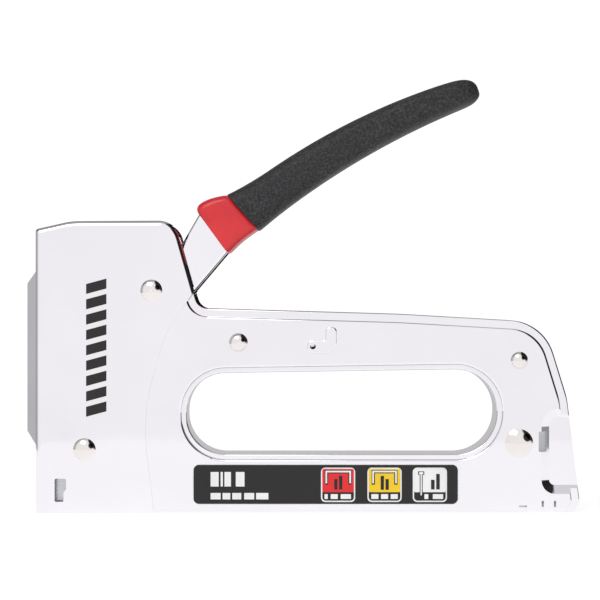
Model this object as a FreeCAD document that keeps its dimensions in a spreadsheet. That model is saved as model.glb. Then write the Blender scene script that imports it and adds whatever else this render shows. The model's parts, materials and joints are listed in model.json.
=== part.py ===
"""Hand staple gun: a pressed-steel tacker with a squeeze lever, built as separate pieces.

Millimetres. +X runs from the nose to the tail, +Y across the body and +Z up. The origin is at the
middle of the base, so the nose and the tail foot stand on z = 0.
"""
import FreeCAD, Part
import math
import os
import Sketcher

from FreeCAD import Vector

LEFT = -1
RIGHT = 1
WALL = "wall"
MOUTH = "mouth"
SOFT = 0.4
TIGHTEST = 0.15
NEAR = 0.01

# ---------------------------------------------------------------- driving dimensions
SIZES = {
    # sheet metal and the stack of layers across the body, each measured from the middle plane
    "sheet": 1.0,
    "fit_gap": 0.1,
    "past": 3.0,
    "beyond": 100.0,
    "ledge_depth": 8.0,
    "panel_depth": 9.4,
    "ledge_width": 2.5,
    "opening_ledge": 1.5,
    "cover_depth": 10.5,
    "roll_radius": 0.9,
    "ledge_roll": 0.6,
    # rivets: place, shank radius and head radius
    "pivot_x": -47.0,
    "pivot_z": 69.0,
    "nose_rivet_x": -67.7,
    "nose_rivet_z": 19.8,
    "web_rivet_x": -20.1,
    "web_rivet_z": 52.9,
    "tail_upper_x": 67.0,
    "tail_upper_z": 47.4,
    "tail_lower_x": 66.9,
    "tail_lower_z": 21.7,
    "large_shank": 2.4,
    "small_shank": 1.8,
    "pivot_head": 3.4,
    "nose_head": 3.5,
    "web_head": 2.9,
    "tail_upper_head": 2.7,
    "tail_lower_head": 4.4,
    "head_height": 1.5,
    "spacer_wall": 1.2,
    "spacer_half": 8.35,
    "running_gap": 0.05,
    # pressed bulge in the front of the nose cover
    "bulge_front": -86.0,
    "bulge_rear": -83.05,
    "bulge_half": 6.04,
    "bulge_foot": 8.3,
    "bulge_roll": 1.0,
    "bulge_low": 21.2,
    "bulge_high": 75.0,
    "bulge_hollow_half": 4.6,
    # gates cut through the rims of the frame halves
    "gate_half": 7.6,
    "lever_gate_left": -46.5,
    "lever_gate_right": -30.2,
    "lever_gate_low": 58.0,
    "front_gate_rear": -80.3,
    "front_gate_top": 86.0,
    "tail_gate_front": 79.0,
    "tail_gate_top": 25.9,
    "tail_gate_half": 6.2,
    # finger recess pressed into the tail, and its latch slot
    "window_gap": 0.5,
    "recess_floor": 7.2,
    "recess_slope": 50.0,
    "recess_reach": 2.6,
    "latch_slot_front": 73.0,
    "latch_slot_rear": 75.6,
    "latch_slot_low": 19.0,
    "latch_slot_high": 25.3,
    # slits and notch at the tail's lower edge
    "slit_width": 0.7,
    "slit_top": 3.8,
    "front_slit_x": 73.9,
    "rear_slit_x": 77.7,
    "foot_notch_front": 66.9,
    "foot_notch_rear": 69.4,
    "foot_notch_top": 2.4,
    # lanced hook above the hand opening
    "hook_rise": 0.8,
    "hook_roll": 0.48,
    "hook_hole_x": 3.0,
    "hook_hole_z": 51.7,
    "hook_hole_radius": 0.9,
    # lever: a folded channel, and its lift pin
    "lever_half": 7.3,
    "lever_sheet": 1.2,
    "fold_front": -41.0,
    "fold_rear": -31.0,
    "fold_low": 79.0,
    "squeeze_angle": 30.0,
    "lift_arm": 21.5,
    "lift_pin_radius": 1.5,
    # handle covering
    "sleeve_half": 9.6,
    "collar_half": 9.1,
    "sleeve_round": 2.6,
    "joint_front": -25.5,
    "joint_rear": -12.5,
    "joint_rise": 8.0,
    # plunger, driver blade and power spring
    "spring_x": -76.6,
    "spring_coil": 4.0,
    "spring_wire": 0.7,
    "spring_pitch": 4.2,
    "spring_low": 46.0,
    "spring_high": 84.0,
    "post_radius": 2.6,
    "post_low": 58.5,
    "seat_front": -80.2,
    "seat_rear": -69.5,
    "seat_thick": 2.4,
    "seat_half": 6.9,
    "plunger_half": 5.2,
    "plunger_low": 40.0,
    "plunger_front": -80.9,
    "plunger_rear": -64.8,
    "hook_front": -71.3,
    "hook_top": 68.0,
    "window_play": 0.3,
    "window_round": 0.8,
    "blade_front": -81.8,
    "blade_thick": 0.8,
    "blade_half": 5.6,
    "blade_low": 0.6,
    "blade_pin_radius": 1.2,
    "blade_pin_offset": 3.0,
    "blade_pin_flare": 1.5,
    # rubber stop and the folded core that guides the blade
    "buffer_front": -79.4,
    "buffer_rear": -65.5,
    "buffer_low": 33.7,
    "buffer_high": 39.7,
    "buffer_half": 7.0,
    "buffer_round": 1.2,
    "core_half": 8.2,
    "core_front": -78.2,
    "core_rear": -58.0,
    "core_low": 14.4,
    "core_high": 33.6,
    # staple magazine, pusher and loader
    "magazine_front": -80.4,
    "magazine_rear": 71.2,
    "magazine_low": 1.6,
    "channel_half": 6.9,
    "channel_top": 13.6,
    "magazine_sheet": 0.8,
    "rail_half": 5.1,
    "rail_top": 11.5,
    "slot_half": 1.1,
    "pusher_length": 9.0,
    "pusher_neck": 0.8,
    "pusher_front": -80.0,
    "slot_front": -77.0,
    "saddle_low": 2.2,
    "saddle_inner": 5.4,
    "saddle_half": 5.8,
    "saddle_under": 11.8,
    "saddle_top": 12.45,
    "tongue_half": 3.6,
    "tongue_low": 2.9,
    "tongue_high": 10.2,
    "tongue_bore": 2.75,
    "rod_z": 6.4,
    "rod_radius": 1.0,
    "rod_front": -79.0,
    "coil_radius": 2.0,
    "coil_wire": 0.35,
    "coil_pitch": 6.0,
    "latch_front": 72.6,
    "latch_rear": 82.6,
    "latch_high": 25.4,
    "latch_step": 14.0,
    "latch_half": 5.9,
    "latch_sheet": 1.2,
    # return spring round the pivot
    "return_coil": 4.6,
    "return_wire": 0.5,
    "return_pitch": 1.3,
    "return_half": 5.0,
    # printed label on the left panel
    "label_front": -34.0,
    "label_rear": 47.9,
    "label_low": 2.9,
    "label_high": 15.0,
    "label_round": 1.7,
    "label_thick": 0.15,
}

# Outlines in the X-Z plane: x, z, corner radius, and whether the edge that leaves the corner
# is a bent wall or an open mouth of the pressing.
OUTLINES = {
    "cover": [
        (-83.05, 0.0, 0.0, WALL),
        (-83.05, 88.1, 1.0, WALL),
        (-71.9, 90.6, 20.0, WALL),
        (-39.6, 90.8, 7.0, MOUTH),
        (-33.5, 69.1, 0.0, MOUTH),
        (-42.8, 56.0, 30.0, MOUTH),
        (-49.9, 30.0, 60.0, MOUTH),
        (-46.2, 0.0, 0.0, MOUTH),
    ],
    "bulge_top_slope": [
        (-87.0, 69.9, 0.0, WALL),
        (-87.0, 80.0, 0.0, WALL),
        (-83.05, 80.0, 0.0, WALL),
        (-83.05, 75.0, 0.0, WALL),
    ],
    "bulge_low_slope": [
        (-87.0, 26.9, 0.0, WALL),
        (-83.05, 21.2, 0.0, WALL),
        (-83.05, 16.0, 0.0, WALL),
        (-87.0, 16.0, 0.0, WALL),
    ],
    "bulge_hollow": [
        (-85.0, 28.2, 0.6, WALL),
        (-85.0, 68.6, 0.6, WALL),
        (-81.6, 72.9, 0.0, WALL),
        (-81.6, 23.3, 0.0, WALL),
    ],
    "window": [
        (-77.0, 3.6, 0.5, WALL),
        (-77.0, 10.8, 0.5, WALL),
        (-73.4, 10.8, 0.5, WALL),
        (-73.4, 7.6, 0.4, WALL),
        (-74.2, 6.3, 0.4, WALL),
        (-74.2, 3.6, 0.5, WALL),
    ],
    "frame": [
        (-81.9, 1.2, 0.0, WALL),
        (-81.9, 87.2, 1.2, WALL),
        (-71.9, 89.45, 20.0, WALL),
        (-40.6, 89.65, 6.0, WALL),
        (-32.4, 63.6, 4.0, WALL),
        (30.0, 61.8, 300.0, WALL),
        (74.8, 59.2, 14.5, WALL),
        (82.0, 35.8, 20.0, WALL),
        (86.0, 3.2, 2.6, WALL),
        (83.8, 0.0, 1.5, MOUTH),
        (68.2, 0.0, 0.0, MOUTH),
        (67.2, 1.0, 0.0, MOUTH),
    ],
    "opening": [
        (-36.2, 18.2, 12.2, WALL),
        (-36.2, 43.2, 12.2, WALL),
        (60.2, 44.7, 12.9, WALL),
        (60.2, 18.2, 12.9, WALL),
    ],
    "recess": [
        (76.5, 8.6, 1.6, WALL),
        (76.5, 30.1, 3.0, WALL),
        (92.0, 28.6, 0.0, WALL),
        (92.0, 8.6, 0.0, WALL),
    ],
    "backing": [
        (72.9, 5.0, 4.0, WALL),
        (72.9, 33.7, 4.6, WALL),
        (81.2, 33.7, 0.0, WALL),
        (84.7, 5.0, 0.0, WALL),
    ],
    "backing_top": [
        (72.9, 5.0, 4.0, WALL),
        (72.9, 33.7, 4.6, WALL),
        (79.3, 33.7, 0.0, WALL),
        (82.7, 5.0, 0.0, WALL),
    ],
    "hook": [
        (1.3, 49.5, 1.6, WALL),
        (1.3, 53.6, 1.6, WALL),
        (6.9, 53.6, 0.8, WALL),
        (6.9, 57.7, 1.4, WALL),
        (10.4, 57.7, 1.4, WALL),
        (10.4, 52.2, 1.6, WALL),
        (8.2, 49.5, 1.6, WALL),
    ],
    "lever": [
        (-71.0, 60.2, 2.8, MOUTH),
        (-71.3, 67.4, 2.8, MOUTH),
        (-50.5, 77.5, 8.0, MOUTH),
        (-40.6, 78.6, 5.0, WALL),
        (-31.2, 94.9, 3.0, WALL),
        (-20.4, 98.1, 8.0, WALL),
        (10.4, 119.9, 200.0, WALL),
        (50.6, 134.1, 2.6, WALL),
        (53.6, 129.9, 1.6, MOUTH),
        (15.4, 113.3, 200.0, MOUTH),
        (-20.6, 84.3, 6.0, MOUTH),
        (-36.6, 65.4, 6.0, MOUTH),
        (-46.0, 60.6, 7.0, MOUTH),
        (-56.0, 63.4, 10.0, MOUTH),
    ],
    "sleeve": [
        (-23.8, 98.9, 0.0, WALL),
        (-18.9, 100.8, 6.0, WALL),
        (9.6, 122.1, 210.0, WALL),
        (52.6, 136.7, 5.0, WALL),
        (56.2, 128.9, 3.6, WALL),
        (15.8, 111.4, 250.0, WALL),
        (-13.8, 87.9, 0.0, WALL),
    ],
    "collar": [
        (-24.0, 98.7, 0.0, WALL),
        (-34.5, 95.9, 3.0, WALL),
        (-23.1, 80.9, 0.0, WALL),
        (-14.0, 87.7, 0.0, WALL),
    ],
}

document = FreeCAD.newDocument("StapleGun")
sheet = document.addObject("Spreadsheet::Sheet", "Dims")
pieces = {}


def fill_sheet():
    """Write every driving size, and every outline's corners, to the spreadsheet."""
    rows = list(SIZES.items())
    for word, corners in OUTLINES.items():
        for number, (x, z, radius, _edge) in enumerate(corners):
            rows.append((f"{word}_x_{number}", x))
            rows.append((f"{word}_z_{number}", z))
            rows.append((f"{word}_round_{number}", radius))
    for row, (name, number) in enumerate(rows, start=1):
        sheet.set(f"A{row}", name)
        sheet.set(f"B{row}", str(number))
        sheet.setAlias(f"B{row}", name)
    document.recompute()


def size(name):
    """A size as the sheet gives it."""
    return float(sheet.get(name))


def outline(name):
    """Corners of an outline as the sheet gives them."""
    corners = []
    for number, corner in enumerate(OUTLINES[name]):
        x = size(f"{name}_x_{number}")
        z = size(f"{name}_z_{number}")
        corners.append((x, z, size(f"{name}_round_{number}"), corner[3]))
    return corners


def rectangle(low_x, low_z, high_x, high_z, radius=0.0):
    """Corners of an upright rectangle."""
    return [
        (low_x, low_z, radius, WALL),
        (low_x, high_z, radius, WALL),
        (high_x, high_z, radius, WALL),
        (high_x, low_z, radius, WALL),
    ]


# ---------------------------------------------------------------- outline geometry
def area_sign(corners):
    """Which way round an outline's corners run."""
    total = 0.0
    for here, after in zip(corners, corners[1:] + corners[:1]):
        total += here[0] * after[1] - after[0] * here[1]
    return 1.0 if total > 0 else -1.0


def inset(corners, wall, mouth=None):
    """Move each edge inwards: walls by one distance, open mouths by another."""
    mouth = wall if mouth is None else mouth
    turn = area_sign(corners)
    lines = []
    for here, after in zip(corners, corners[1:] + corners[:1]):
        along = Vector(after[0] - here[0], after[1] - here[1], 0).normalize()
        inward = Vector(-along.y, along.x, 0) * turn
        distance = wall if here[3] == WALL else mouth
        lines.append((Vector(here[0], here[1], 0) + inward * distance, along, distance))
    moved = []
    for number, corner in enumerate(corners):
        start, along, distance = lines[number]
        other, before, other_distance = lines[number - 1]
        cross = before.x * along.y - before.y * along.x
        gap = start - other
        reach = (gap.x * along.y - gap.y * along.x) / cross
        point = other + before * reach
        convex = cross * turn > 0
        shrink = max(distance, other_distance) if convex else -min(distance, other_distance)
        radius = max(corner[2] - shrink, TIGHTEST) if corner[2] else 0.0
        moved.append((point.x, point.y, radius, corner[3]))
    return moved


def rounded(corners):
    """Lines and tangent arcs round a closed outline."""
    runs = []
    for number, corner in enumerate(corners):
        here = Vector(corner[0], corner[1], 0)
        before = corners[number - 1]
        after = corners[(number + 1) % len(corners)]
        back = (Vector(before[0], before[1], 0) - here).normalize()
        ahead = (Vector(after[0], after[1], 0) - here).normalize()
        half = back.getAngle(ahead) / 2
        radius = corner[2]
        reach = radius / math.tan(half)
        middle = here + (back + ahead).normalize() * (radius / math.sin(half) - radius)
        runs.append((here + back * reach, middle, here + ahead * reach, radius))
    shapes = []
    for number, (start, middle, end, radius) in enumerate(runs):
        if radius > 0:
            shapes.append(Part.Arc(start, middle, end))
        following = runs[(number + 1) % len(runs)][0]
        after = corners[(number + 1) % len(corners)]
        along = Vector(after[0] - corners[number][0], after[1] - corners[number][1], 0)
        if (following - end).dot(along) < -1e-6:
            raise ValueError(f"the corner arcs overlap after corner {number} of {corners}")
        if end.distanceToPoint(following) > 1e-6:
            shapes.append(Part.LineSegment(end, following))
    return shapes


# ---------------------------------------------------------------- features
def new_body(name):
    """A body kept under the name of its node."""
    body = document.addObject("PartDesign::Body", name)
    body.Label = name
    pieces[name] = body
    return body


def origin_plane(body, role):
    """One of the body's own base planes."""
    for feature in body.Origin.OriginFeatures:
        if feature.Role == role:
            return feature
    raise ValueError(role)


def new_sketch(body, name, role, shapes, offset=None):
    """A sketch on one of the body's origin planes, with its lines and arcs held in place."""
    sketch = body.newObject("Sketcher::SketchObject", name)
    sketch.AttachmentSupport = [(origin_plane(body, role), "")]
    sketch.MapMode = "FlatFace"
    if offset:
        sketch.setExpression("AttachmentOffset.Base.z", offset)
    sketch.addGeometry(shapes, False)
    return sketch


def side_sketch(body, name, *outlines):
    """Closed outlines on the body's middle plane."""
    shapes = []
    for corners in outlines:
        shapes.extend(rounded(corners))
    return new_sketch(body, name, "XZ_Plane", shapes)


def offset_sketch(body, name, corners, side, offset):
    """A sketch parallel to the middle plane, out on one side of it."""
    sign = "" if side == LEFT else "-1 * "
    return new_sketch(body, name, "XZ_Plane", rounded(corners), f"{sign}({offset})")


def circle_sketch(body, name, centres, offset=None):
    """Circles bound to the sheet: each centre is (x alias, z alias, radius expression)."""
    sketch = new_sketch(body, name, "XZ_Plane", [], offset)
    for x_name, z_name, radius in centres:
        centre = Vector(size(x_name), size(z_name), 0)
        number = sketch.addGeometry(Part.Circle(centre, Vector(0, 0, 1), 1.0), False)
        for kind, expression in (("DistanceX", x_name), ("DistanceY", z_name)):
            value = size(expression)
            index = sketch.addConstraint(Sketcher.Constraint(kind, -1, 1, number, 3, value))
            sketch.setExpression(f"Constraints[{index}]", f"Dims.{expression}")
        index = sketch.addConstraint(Sketcher.Constraint("Radius", number, 1.0))
        sketch.setExpression(f"Constraints[{index}]", radius)
    return sketch


def extrude(body, kind, sketch, length, side=0):
    """Pad or pocket a sketch by a length that the sheet gives. Side 0 is both ways at once."""
    feature = body.newObject(f"PartDesign::{kind}", f"{sketch.Name}_{kind}")
    feature.Profile = sketch
    feature.setExpression("Length", length)
    if side == 0:
        feature.SideType = "Symmetric"
    else:
        feature.Reversed = (side == RIGHT) if kind == "Pad" else (side == LEFT)
    sketch.Visibility = False
    document.recompute()
    return feature


def round_edges(body, name, radius, wanted):
    """Fillet the edges of the body's tip that the test picks."""
    tip = body.Tip
    names = []
    for number, edge in enumerate(tip.Shape.Edges, start=1):
        if wanted(edge):
            names.append(f"Edge{number}")
    fillet = body.newObject("PartDesign::Fillet", name)
    fillet.Base = (tip, names)
    fillet.setExpression("Radius", radius)
    document.recompute()
    if not names or not fillet.isValid() or fillet.Shape.isNull():
        raise RuntimeError(f"{name} could not round its {len(names)} edges")


def at_depth(edge, depth):
    """True when the whole edge lies at one distance from the middle plane."""
    if edge.Degenerated or edge.Length < NEAR:
        return False
    first = edge.FirstParameter
    span = edge.LastParameter - first
    points = [edge.valueAt(first + span * part) for part in (0.0, 0.3, 0.7, 1.0)]
    return all(abs(abs(point.y) - depth) < NEAR for point in points)


def on_outline(corners):
    """A test for edges that lie over the lines and arcs of an outline."""
    flat = Part.Compound([shape.toShape() for shape in rounded(corners)])

    def wanted(edge):
        middle = edge.valueAt((edge.FirstParameter + edge.LastParameter) / 2)
        return flat.distToShape(Part.Vertex(middle.x, middle.z, 0))[0] < 2 * NEAR
    return wanted


def cut_through(body, name, *outlines):
    """Pierce both sides of a body that straddles the middle plane."""
    return extrude(body, "Pocket", side_sketch(body, name, *outlines), "4 * Dims.cover_depth")


# ---------------------------------------------------------------- shell pieces
def nose_cover():
    """The folded sheet over the nose, with a raised bulge down its front."""
    body = new_body("nose_cover")
    cover = outline("cover")
    extrude(body, "Pad", side_sketch(body, "cover_side", cover), "2 * Dims.cover_depth")
    depth = size("cover_depth")
    front = size("bulge_rear")
    round_edges(body, "cover_fold", "2 * Dims.sheet", lambda edge: at_depth(edge, depth)
                and abs(edge.CenterOfMass.x - front) < size("fit_gap"))
    hollow = inset(cover, size("sheet"), -size("past"))
    extrude(body, "Pocket", side_sketch(body, "cover_hollow", hollow),
            "2 * (Dims.cover_depth - Dims.sheet)")
    bulge(body)
    cut_through(body, "cover_window", outline("window"))
    holes = circle_sketch(body, "cover_holes", [
        ("pivot_x", "pivot_z", "Dims.large_shank + Dims.fit_gap"),
        ("nose_rivet_x", "nose_rivet_z", "Dims.large_shank + Dims.fit_gap"),
    ])
    extrude(body, "Pocket", holes, "4 * Dims.cover_depth")


def bulge(body):
    """A long raised bulge with slanting sides, sloped off at its top and bottom."""
    front = size("bulge_front")
    rear = size("bulge_rear")
    foot = size("bulge_foot")
    half = size("bulge_half")
    roll = size("bulge_roll")
    wall = size("sheet") / 2
    plan = [
        (rear + wall, -foot, 0.0, WALL),
        (rear, -foot, 0.0, WALL),
        (front, -half, roll, WALL),
        (front, half, roll, WALL),
        (rear, foot, 0.0, WALL),
        (rear + wall, foot, 0.0, WALL),
    ]
    sketch = new_sketch(body, "bulge_plan", "XY_Plane", rounded(plan), "Dims.bulge_low")
    extrude(body, "Pad", sketch, "Dims.bulge_high - Dims.bulge_low", LEFT)
    for word in ("top", "low"):
        cut_through(body, f"bulge_{word}_cut", outline(f"bulge_{word}_slope"))
    extrude(body, "Pocket", side_sketch(body, "bulge_inside", outline("bulge_hollow")),
            "2 * Dims.bulge_hollow_half")


def frame_half(name, side):
    """One drawn half of the frame: a raised panel inside a lower ledge, hollow behind."""
    body = new_body(name)
    mark = "left" if side == LEFT else "right"
    sheet_thick = size("sheet")
    edge_line = outline("frame")
    hole_line = outline("opening")
    ledge_width = size("ledge_width")
    hole_ledge = size("opening_ledge")

    def drawn(kind, word, length, *outlines):
        return extrude(body, kind, side_sketch(body, f"{mark}_{word}", *outlines), length, side)

    panel_depth = size("panel_depth")
    ledge_depth = size("ledge_depth")
    drawn("Pad", "ledge", "Dims.ledge_depth", edge_line, hole_line)
    round_edges(body, f"{mark}_ledge_roll", "Dims.ledge_roll",
                lambda edge: at_depth(edge, ledge_depth))
    drawn("Pad", "panel", "Dims.panel_depth", inset(edge_line, ledge_width, 0.0),
          inset(hole_line, -hole_ledge))
    round_edges(body, f"{mark}_roll", "Dims.roll_radius",
                lambda edge: at_depth(edge, panel_depth) and edge.CenterOfMass.z > 2
                and edge.CenterOfMass.x > -70)
    drawn("Pocket", "hollow", "Dims.ledge_depth - Dims.sheet",
          inset(edge_line, sheet_thick, -size("past")), inset(hole_line, -sheet_thick))
    drawn("Pocket", "panel_hollow", "Dims.panel_depth - Dims.sheet",
          inset(edge_line, ledge_width + sheet_thick, -size("past")),
          inset(hole_line, -hole_ledge - sheet_thick))
    tail_recess(body, mark, side)
    low = -size("past")
    far = size("beyond")
    drawn("Pocket", "front_gate", "Dims.gate_half",
          rectangle(-far, low, size("front_gate_rear"), size("front_gate_top")))
    drawn("Pocket", "lever_gate", "Dims.gate_half",
          rectangle(size("lever_gate_left"), size("lever_gate_low"), size("lever_gate_right"), far))
    drawn("Pocket", "tail_gate", "Dims.tail_gate_half",
          rectangle(size("tail_gate_front"), low, far, size("tail_gate_top")))
    slit = size("slit_width")
    cuts = [
        rectangle(size("latch_slot_front"), size("latch_slot_low"), size("latch_slot_rear"),
                  size("latch_slot_high"), SOFT),
        rectangle(size("front_slit_x"), low, size("front_slit_x") + slit, size("slit_top")),
        rectangle(size("rear_slit_x"), low, size("rear_slit_x") + slit, size("slit_top")),
        rectangle(size("foot_notch_front"), low, size("foot_notch_rear"), size("foot_notch_top")),
        inset(outline("window"), -size("window_gap")),
    ]
    drawn("Pocket", "cuts", "2 * Dims.cover_depth", *cuts)
    if side == LEFT:
        extrude(body, "Pad", offset_sketch(body, "lanced_hook", outline("hook"), side,
                "Dims.panel_depth - Dims.sheet / 2"), "Dims.hook_rise + Dims.sheet / 2", side)
        top = size("panel_depth") + size("hook_rise")
        round_edges(body, "hook_roll", "Dims.hook_roll", lambda edge: at_depth(edge, top))
        lance = circle_sketch(body, "hook_hole", [("hook_hole_x", "hook_hole_z",
                                                   "Dims.hook_hole_radius")])
        extrude(body, "Pocket", lance, "2 * Dims.cover_depth", side)
    holes = circle_sketch(body, f"{mark}_holes", [
        ("pivot_x", "pivot_z", "Dims.large_shank + Dims.fit_gap"),
        ("nose_rivet_x", "nose_rivet_z", "Dims.large_shank + Dims.fit_gap"),
        ("web_rivet_x", "web_rivet_z", "Dims.small_shank + Dims.fit_gap"),
        ("tail_upper_x", "tail_upper_z", "Dims.small_shank + Dims.fit_gap"),
        ("tail_lower_x", "tail_lower_z", "Dims.large_shank + Dims.fit_gap"),
    ])
    extrude(body, "Pocket", holes, "2 * Dims.cover_depth", side)


def tail_recess(body, mark, side):
    """A finger recess with sloping walls, pressed into the tail and open at the rear."""
    inner = "Dims.recess_floor - Dims.sheet"
    backing = offset_sketch(body, f"{mark}_backing", outline("backing"), side, inner)
    extrude(body, "Pad", backing, f"Dims.ledge_depth - ({inner})", side)
    top = offset_sketch(body, f"{mark}_backing_top", outline("backing_top"), side, inner)
    extrude(body, "Pad", top, f"Dims.panel_depth - Dims.sheet + Dims.running_gap - ({inner})", side)
    floor_line = outline("recess")
    mouth_line = inset(floor_line, -size("recess_reach") * math.tan(math.radians(size("recess_slope"))))
    floor = offset_sketch(body, f"{mark}_recess_floor", floor_line, side, "Dims.recess_floor")
    mouth = offset_sketch(body, f"{mark}_recess_mouth", mouth_line, side,
                          "Dims.recess_floor + Dims.recess_reach")
    hollow = body.newObject("PartDesign::SubtractiveLoft", f"{mark}_recess")
    hollow.Profile = floor
    hollow.Sections = [mouth]
    hollow.Ruled = True
    document.recompute()


def label_plate():
    """The dark printed plate, stuck on the left panel below the hand opening."""
    body = new_body("label_plate")
    label = rectangle(size("label_front"), size("label_low"), size("label_rear"),
                      size("label_high"), size("label_round"))
    sketch = offset_sketch(body, "label_face", label, LEFT, "Dims.panel_depth")
    extrude(body, "Pad", sketch, "Dims.label_thick", LEFT)


# ---------------------------------------------------------------- turned pieces
def turned(name, x_name, z_name, shapes):
    """A piece turned about a cross axis, placed at a point that the sheet gives."""
    body = new_body(name)
    sketch = new_sketch(body, f"{name}_profile", "XY_Plane", shapes)
    turn = body.newObject("PartDesign::Revolution", f"{name}_turn")
    turn.Profile = sketch
    turn.ReferenceAxis = (sketch, ["V_Axis"])
    turn.Angle = 360.0
    body.setExpression("Placement.Base.x", x_name if "." in x_name else f"Dims.{x_name}")
    body.setExpression("Placement.Base.z", z_name if "." in z_name else f"Dims.{z_name}")
    document.recompute()
    return body


def ring_profile(inner, outer, half):
    """Half the section of a plain tube, or of a rod when it has no bore."""
    return rounded([(inner, -half, 0, WALL), (inner, half, 0, WALL), (outer, half, 0, WALL),
                    (outer, -half, 0, WALL)]) if inner else rod_profile(outer, half)


def rod_profile(radius, half):
    """Half the section of a plain rod."""
    corners = [Vector(0, -half, 0), Vector(0, half, 0), Vector(radius, half, 0),
               Vector(radius, -half, 0)]
    return [Part.LineSegment(start, end) for start, end in zip(corners, corners[1:] + corners[:1])]


def rivet(name, x_name, z_name, shank, head, grip):
    """A domed rivet: its shank through both sides of the body and a head on each."""
    rise = size("head_height")
    ball = (head * head + rise * rise) / (2 * rise)
    centre = grip + rise - ball
    lean = math.asin(head / ball) / 2

    def dome(sign):
        rim = Vector(head, sign * grip, 0)
        middle = Vector(ball * math.sin(lean), sign * (centre + ball * math.cos(lean)), 0)
        crown = Vector(0, sign * (grip + rise), 0)
        return rim, middle, crown

    rim, middle, crown = dome(1)
    low_rim, low_middle, low_crown = dome(-1)
    neck = Vector(shank, grip, 0)
    low_neck = Vector(shank, -grip, 0)
    shapes = [
        Part.LineSegment(low_crown, crown),
        Part.Arc(crown, middle, rim),
        Part.LineSegment(rim, neck),
        Part.LineSegment(neck, low_neck),
        Part.LineSegment(low_neck, low_rim),
        Part.Arc(low_rim, low_middle, low_crown),
    ]
    turned(name, x_name, z_name, shapes)


def rivets_and_spacers():
    """Five rivets, and the tubes that hold the two sides apart round four of them."""
    large = size("large_shank")
    small = size("small_shank")
    cover = size("cover_depth")
    panel = size("panel_depth")
    rivet("pivot_rivet", "pivot_x", "pivot_z", large, size("pivot_head"), cover)
    rivet("nose_rivet", "nose_rivet_x", "nose_rivet_z", large, size("nose_head"), cover)
    rivet("web_rivet", "web_rivet_x", "web_rivet_z", small, size("web_head"), panel)
    rivet("tail_upper_rivet", "tail_upper_x", "tail_upper_z", small, size("tail_upper_head"), panel)
    rivet("tail_lower_rivet", "tail_lower_x", "tail_lower_z", large, size("tail_lower_head"), panel)
    half = size("spacer_half")
    wall = size("spacer_wall")
    gap = size("fit_gap")
    spacers = [
        ("pivot_bush", "pivot_x", "pivot_z", large),
        ("web_spacer", "web_rivet_x", "web_rivet_z", small),
        ("tail_upper_spacer", "tail_upper_x", "tail_upper_z", small),
        ("tail_lower_spacer", "tail_lower_x", "tail_lower_z", large),
    ]
    for name, x_name, z_name, shank in spacers:
        turned(name, x_name, z_name, ring_profile(shank + gap, shank + wall, half))


# ---------------------------------------------------------------- lever and covering
def lift_pin_place():
    """The lift pin lies level with the pivot halfway through the squeeze."""
    swing = math.radians(size("squeeze_angle") / 2)
    return (size("pivot_x") - size("lift_arm") * math.cos(swing),
            size("pivot_z") - size("lift_arm") * math.sin(swing))


LIFT_X = "Dims.pivot_x - Dims.lift_arm * cos(Dims.squeeze_angle / 2 * 1 deg)"
LIFT_Z = "Dims.pivot_z - Dims.lift_arm * sin(Dims.squeeze_angle / 2 * 1 deg)"


def lever():
    """A folded channel, open below, that turns on the pivot bush and carries the lift pin."""
    body = new_body("lever")
    shape = outline("lever")
    extrude(body, "Pad", side_sketch(body, "lever_side", shape), "2 * Dims.lever_half")
    half = size("lever_half")

    def fold(edge):
        middle = edge.CenterOfMass
        beside = size("fold_front") < middle.x < size("fold_rear")
        return at_depth(edge, half) and beside and middle.z > size("fold_low")
    round_edges(body, "lever_fold", "Dims.lever_sheet", fold)
    hollow = inset(shape, size("lever_sheet"), -size("past"))
    extrude(body, "Pocket", side_sketch(body, "lever_hollow", hollow),
            "2 * (Dims.lever_half - Dims.lever_sheet)")
    holes = circle_sketch(body, "lever_pivot_hole", [
        ("pivot_x", "pivot_z", "Dims.large_shank + Dims.spacer_wall + Dims.running_gap")])
    extrude(body, "Pocket", holes, "4 * Dims.lever_half")
    pin_x, pin_z = lift_pin_place()
    ring = Part.Circle(Vector(pin_x, pin_z, 0), Vector(0, 0, 1), size("lift_pin_radius"))
    pin_hole = new_sketch(body, "lift_pin_hole", "XZ_Plane", [ring])
    extrude(body, "Pocket", pin_hole, "4 * Dims.lever_half")
    turned("lift_pin", LIFT_X, LIFT_Z, rod_profile(size("lift_pin_radius"), size("lever_half")))


def covering(name, half_name):
    """A moulded cover that fits round the outside of the lever's channel."""
    body = new_body(name)
    shape = outline(name.split("_")[1])
    extrude(body, "Pad", side_sketch(body, f"{name}_side", shape), f"2 * Dims.{half_name}")
    half = size(half_name)
    round_edges(body, f"{name}_round", "Dims.sleeve_round",
                lambda edge: at_depth(edge, half) and not is_border(edge))
    fit = inset(outline("lever"), -size("fit_gap"))
    extrude(body, "Pocket", side_sketch(body, f"{name}_bore", fit),
            "2 * (Dims.lever_half + Dims.fit_gap)")


def is_border(edge):
    """True for the slanting joint between the collar and the sleeve."""
    ends = [vertex.Point for vertex in edge.Vertexes]
    between = all(size("joint_front") < point.x < size("joint_rear") for point in ends)
    return between and abs(ends[0].z - ends[-1].z) > size("joint_rise")


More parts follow.
